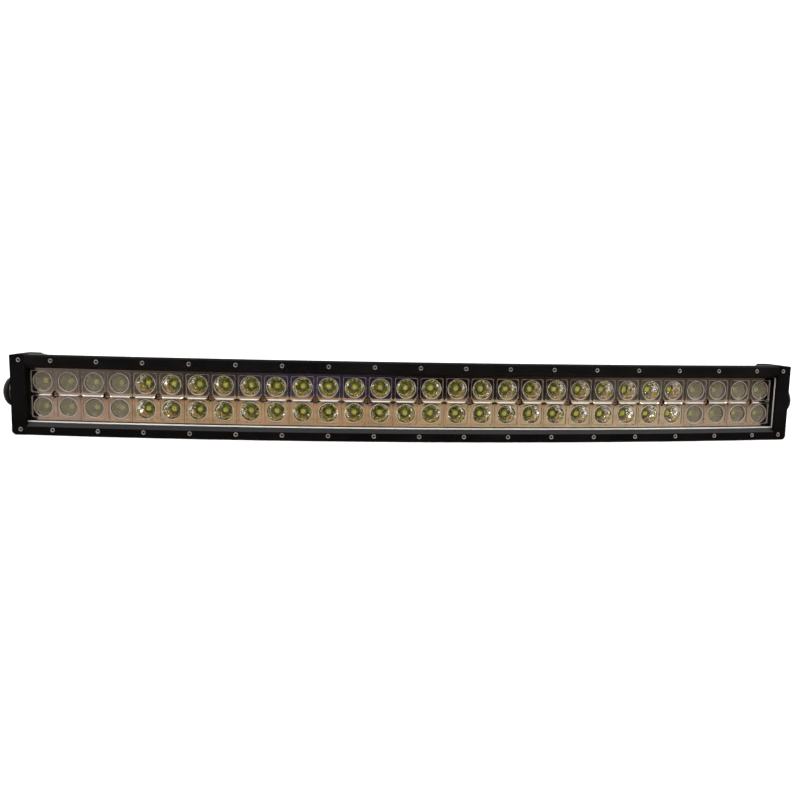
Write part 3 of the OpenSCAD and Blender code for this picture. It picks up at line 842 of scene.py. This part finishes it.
def build_leds():
    """One LED a cell. Those under the diffusers stand higher, and have a painted glow that shows through
    them.
    """
    modules = range(-LAST, LAST + 1)
    groups = (
        ("spot", [i for i in modules if abs(i) <= LAST_SPOT], SPOT_LED_FRONT, PHOSPHOR),
        ("flood", [i for i in modules if abs(i) > LAST_SPOT], FLOOD_LED_FRONT, GLOW_PAINTED_PHOSPHOR),
    )
    for kind, numbers, front, phosphor_look in groups:
        places = cell_places(numbers)
        parts = (
            ("led_packages", led_package_template(front), PACKAGE, "led_board"),
            ("led_phosphors", led_phosphor_template(front), phosphor_look, "led_phosphor"),
            ("led_domes", led_dome_template(front), DOME, "led_phosphor"),
        )
        for name, template, look, slot in parts:
            add_piece(f"{kind}_{name}", copies(template, places), [look], "led_emitters")
            template.free()


# ---- Screws ----

# Bezel screws, in mm: the rail's last screw from the bar's middle, the step between them, their
# height, and the corner screws' distance beyond the end of the curve
RAIL_REACH = HOUSING_HALF - 25.9
RAIL_SCREWS = 17
RAIL_STEP = 2 * RAIL_REACH / (RAIL_SCREWS - 1)
SCREW_HEIGHT = 33
CORNER_STEP = RAIL_REACH + 31 - HOUSING_HALF


def hexagon(across):
    """Radius of a hexagon of the given width across flats, as a function of the angle."""
    def radius(angle):
        sector = math.radians(60)
        return across / 2 / math.cos((angle % sector) - sector / 2)
    return radius


def cross(reach, width):
    """Radius of a four-pointed recess, as a function of the angle."""
    def radius(angle):
        quarter = abs(((angle + math.pi / 4) % (math.pi / 2)) - math.pi / 4)
        return max(width, reach - (reach - width) * min(1, quarter / 0.42) ** 0.8)
    return radius


def screw_template(head, height, shank, length, recess, sink, front):
    """Round-edged screw pointing into the depth: recess in painted shade, ring-shaped crown, head, blunt
    shank.
    """
    half = head / 2
    crown = half * 0.72
    stem = shank / 2
    profile = [
        (lambda a: recess(a) * 0.5, sink * 1.1),
        (lambda a: recess(a) * 0.92, sink),
        (lambda a: recess(a) * 0.98, 0.5),
        (lambda a: recess(a) * 1.04, 0.34),
        (lambda a: max(crown * 0.9, recess(a) * 1.1), 0.06),
        (crown, 0.0), (half * 0.82, 0.08), (half - 0.12, 0.4), (half, 0.75),
        (half, height - 0.12), (half - 0.12, height), (stem + 0.1, height),
        (stem, height + 0.15), (stem, length - 0.5), (stem - 0.5, length),
    ]
    mesh = rings_mesh([ring(radius, front + depth, 48) for radius, depth in profile])
    # Faces inside the recess take the second material, the painted shade
    for face in mesh.faces:
        middle = face.calc_center_median() / MM
        inside = math.hypot(middle.x, middle.z) < recess(math.atan2(middle.z, middle.x))
        face.material_index = 1 if inside and middle.y < front + height else 0
    return mesh


def build_bezel_screws():
    """Socket screws along both rails and in the corners, each turned a little differently."""
    places = []
    for i in range(RAIL_SCREWS):
        for side in (-1, 1):
            turn = Matrix.Rotation(math.radians(37 * i + 90 * side), 4, "Y")
            places.append(on_curve(i * RAIL_STEP - RAIL_REACH, 0, side * SCREW_HEIGHT) @ turn)
    for end in (-1, 1):
        for side in (-1, 1):
            flat = Matrix.Translation(Vector((end * CORNER_STEP, 0, side * SCREW_HEIGHT)) * MM)
            places.append(on_curve(end * HOUSING_HALF) @ flat)
    template = screw_template(
        head=4.5, height=2.0, shank=2.5, length=11, recess=hexagon(2.2), sink=1.3, front=0.12,
    )
    add_piece("socket_screws", copies(template, places), [STAINLESS, RECESS_PAINTED_SHADE], "bezel_screws")
    template.free()


def build_reflector_screws():
    """Cross-head screws in the middle of the modules, each turned differently."""
    places = []
    for i in range(-LAST, LAST + 1):
        places.append(on_curve(i * MODULE_PITCH) @ Matrix.Rotation(math.radians(45 + 61 * i), 4, "Y"))
    template = screw_template(
        head=5.6, height=2.0, shank=3.0, length=13, recess=cross(1.4, 0.55), sink=1.1, front=12.8,
    )
    mesh = copies(template, places)
    add_piece("cross_screws", mesh, [BRONZE, RECESS_PAINTED_SHADE], "reflector_screws")
    template.free()


# ---- Bolt caps ----

# Height of the straight skirt and radius of the opening, in mm
CAP_SKIRT = 3.0
CAP_OPENING = 9.55


def bolt_cap_mesh(node, side):
    """Domed cap, hollow over the bolt head, with a small step where the crown starts."""
    low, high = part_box(node)
    base = (low.x if side > 0 else -high.x) / MM
    top = (high.x if side > 0 else -low.x) / MM
    radius = (high.z - low.z) / 2 / MM
    crown = top - base - CAP_SKIRT
    arc = (radius ** 2 + crown ** 2) / (2 * crown)
    profile = [
        (8.9, base + 5.3), (9.5, base + 5.2), (CAP_OPENING, base), (radius - 0.5, base),
        (radius, base + 0.5), (radius, base + CAP_SKIRT - 0.7),
        (radius - 0.25, base + CAP_SKIRT - 0.25), (radius - 0.55, base + CAP_SKIRT),
    ]
    steps = 15
    for k in range(1, steps):
        r = (radius - 0.75) * (1 - k / steps) ** 0.9
        profile.append((r, top - arc + math.sqrt(arc * arc - r * r)))
    mesh = rings_mesh([ring(r, x, 96) for r, x in profile])
    bmesh.ops.transform(mesh, matrix=Matrix.Rotation(math.radians(-90), 4, "Z"), verts=mesh.verts)
    if side < 0:
        bmesh.ops.transform(mesh, matrix=Matrix.Scale(-1, 4, (1, 0, 0)), verts=mesh.verts)
    return mesh


def build_bolt_caps():
    for side, node in ((-1, "left_bolt_cap"), (1, "right_bolt_cap")):
        add_piece(node + "_dome", bolt_cap_mesh(node, side), [CAP_PLASTIC], node)


build_reflectors()
build_diffusers()
build_leds()
build_bezel_screws()
build_reflector_screws()
build_bolt_caps()


# ---- Studio ----

# Camera: distance in metres, angles, the point it looks at, and focal length in mm
CAMERA_DISTANCE = 0.7353
CAMERA_TURN = math.radians(-5.19)
CAMERA_RISE = math.radians(7.36)
CAMERA_ROLL = math.radians(1.295)
CAMERA_TARGET = Vector((-0.01929, FRONT_Y, 0.0026))
CAMERA_LENS = 34.8

# Where along the bar the painted room reflection is seen straight on, and how far to each side its tints go,
# in metres
PAINTED_ROOM_MIDDLE = -0.055
PAINTED_ROOM_REACH = 0.38

# How much a direction's sideways and upward parts count for how white the painted sky reflection is
SKY_SIDE = 0.75
SKY_UP = 1.3
SKY_STRENGTH = 1.12

# Name, place and size in metres, power in watts, and whether mirrors show it
LIGHTS = (
    ("key", (-0.3, -1.2, 1.5), (1.6, 0.9), 34, False),
    ("fill", (1.1, -1.0, 0.9), (1.0, 0.8), 10, False),
    ("back", (0.0, 1.6, 1.0), (2.2, 0.5), 16, True),
    ("left_glint", (-0.8, -1.0, 0.55), (0.2, 0.3), 0.9, True),
    ("right_glint", (1.0, -1.0, 0.5), (0.2, 0.3), 1.0, True),
)


def mirror_rays(nodes):
    """Factor that is 1 for what a camera ray meets in a mirror, and 0 for light and direct view."""
    path = nodes.node("ShaderNodeLightPath")
    direct = nodes.math("LESS_THAN", path.outputs["Diffuse Depth"], 0.5)
    return nodes.math("MULTIPLY", path.outputs["Is Glossy Ray"], direct)


def painted_room_reflection(look):
    """Painted reflection for the front's mirrors: a warm table near the bar and a dim room beyond it, in
    changing tints.

    The tints follow the bar, so a point of the floor takes the tint of the place that mirrors it.
    """
    spread = 1 / (1 / CAMERA_DISTANCE + 2 / CURVE_RADIUS)
    place = look.split(look.coords)
    reach = look.length(place["X"], look.math("SUBTRACT", place["Y"], CENTRE_Y))
    away = look.math("SUBTRACT", reach, CURVE_RADIUS)
    fan = look.math("DIVIDE", spread, look.math("ADD", away, spread))
    offset = look.math("MULTIPLY", look.math("SUBTRACT", place["X"], PAINTED_ROOM_MIDDLE), fan)
    along = look.span(look.math("ADD", offset, PAINTED_ROOM_MIDDLE), 0, 1, -PAINTED_ROOM_REACH, PAINTED_ROOM_REACH)
    painted_table = look.ramp(
        along, (0.02, (0.54, 0.385, 0.29)), (0.2, (0.53, 0.35, 0.19)), (0.42, (0.56, 0.36, 0.195)),
        (0.6, (0.58, 0.42, 0.24)), (0.8, (0.635, 0.49, 0.32)), (0.98, (0.51, 0.36, 0.24)),
    )
    painted_room = look.ramp(
        along, (0.02, (0.19, 0.16, 0.14)), (0.22, (0.05, 0.04, 0.035)), (0.36, (0.042, 0.036, 0.075)),
        (0.52, (0.006, 0.004, 0.004)), (0.68, (0.03, 0.02, 0.016)), (0.8, (0.10, 0.085, 0.07)),
        (0.96, (0.07, 0.05, 0.035)),
    )
    painted_table_edge = look.ramp(
        along, (0.0, grey(0.24)), (0.36, grey(0.285)), (0.45, grey(0.235)), (0.55, grey(0.285)),
        (1.0, grey(0.23)),
    )
    beyond = look.span(look.math("SUBTRACT", away, painted_table_edge), 0, 1, -0.012, 0.012)
    clouds = look.ramp(look.noise(14, 4), (0.3, (0.66, 0.63, 0.61)), (0.7, (1.08, 1.06, 1.05)))
    return look.mix(1.0, look.mix(beyond, painted_table, painted_room), clouds, blend_type="MULTIPLY")


def floor_look():
    """Pale paper sweep. Mirrors see on it a painted reflection of the table and room the bar stood in,
    emitted in place of its own shading.
    """
    look = Look("pale_floor", Roughness=0.9)
    look.colour(look.noise(40), (0.3, grey(0.88)), (0.7, grey(0.92)))
    # Painted reflection: rays from mirrors see an emitted table and room, not the lit floor
    painted_room = look.node("ShaderNodeEmission")
    look.link(painted_room_reflection(look), painted_room.inputs["Color"])
    look.link(look.mix_shader(mirror_rays(look), look.surface, painted_room), look.output)
    return look.material


def build_floor():
    mesh = bmesh.new()
    bmesh.ops.create_grid(mesh, x_segments=8, y_segments=8, size=6)
    data = bpy.data.meshes.new("floor")
    mesh.to_mesh(data)
    mesh.free()
    data.materials.append(floor_look())
    floor = bpy.data.objects.new("floor", data)
    floor.location.z = cad_bounds[0][2] - 0.5 * MM
    bpy.context.collection.objects.link(floor)


def build_world():
    """White all round for the camera and for light. Mirrors see a painted reflection instead: white sky only
    overhead, and dark walls.
    """
    world = bpy.data.worlds.new("studio")
    bpy.context.scene.world = world
    world.use_nodes = True
    sky = Nodes(world.node_tree)
    direction = sky.split(sky.node("ShaderNodeTexCoord").outputs["Generated"])
    sideways = sky.math("MULTIPLY", direction["X"], SKY_SIDE)
    upward = sky.math("MULTIPLY", direction["Z"], SKY_UP)
    # Painted reflection: this sky, dark at the sides, is seen only in mirrors
    painted_walls = sky.ramp(sky.length(sideways, upward), (0.45, (0.02, 0.02, 0.022)), (0.9, grey(1.0)))
    background = world.node_tree.nodes["Background"]
    background.inputs["Strength"].default_value = SKY_STRENGTH
    sky.link(sky.mix(mirror_rays(sky), grey(1.0), painted_walls), background.inputs["Color"])


def add_light(name, place, size, power, mirrored):
    """Rectangular lamp that shines at the bar's middle."""
    data = bpy.data.lights.new(name, "AREA")
    data.shape = "RECTANGLE"
    data.size, data.size_y = size
    data.energy = power
    lamp = bpy.data.objects.new(name, data)
    lamp.location = place
    lamp.rotation_euler = (-Vector(place)).to_track_quat("-Z", "Y").to_euler()
    lamp.visible_glossy = mirrored
    bpy.context.collection.objects.link(lamp)


def build_camera():
    """Camera in front of the bar, a little to its left and above, slightly rolled."""
    level = math.cos(CAMERA_RISE)
    back = Vector((math.sin(CAMERA_TURN) * level, -math.cos(CAMERA_TURN) * level, math.sin(CAMERA_RISE)))
    right = Vector((math.cos(CAMERA_TURN), math.sin(CAMERA_TURN), 0))
    up = back.cross(right)
    tilt = Matrix.Rotation(CAMERA_ROLL, 3, back)
    data = bpy.data.cameras.new("camera")
    data.sensor_width = 36
    data.lens = CAMERA_LENS
    data.clip_start = 0.01
    camera = bpy.data.objects.new("camera", data)
    matrix = Matrix((tilt @ right, tilt @ up, back)).transposed().to_4x4()
    matrix.translation = CAMERA_TARGET + back * CAMERA_DISTANCE
    camera.matrix_world = matrix
    bpy.context.collection.objects.link(camera)
    bpy.context.scene.camera = camera


build_floor()
build_world()
for light in LIGHTS:
    add_light(*light)
build_camera()
bpy.context.scene.view_settings.view_transform = "Standard"


# ---- Size, and the end ----


def corners(bounds):
    return [[float(v) for v in corner] for corner in bounds]
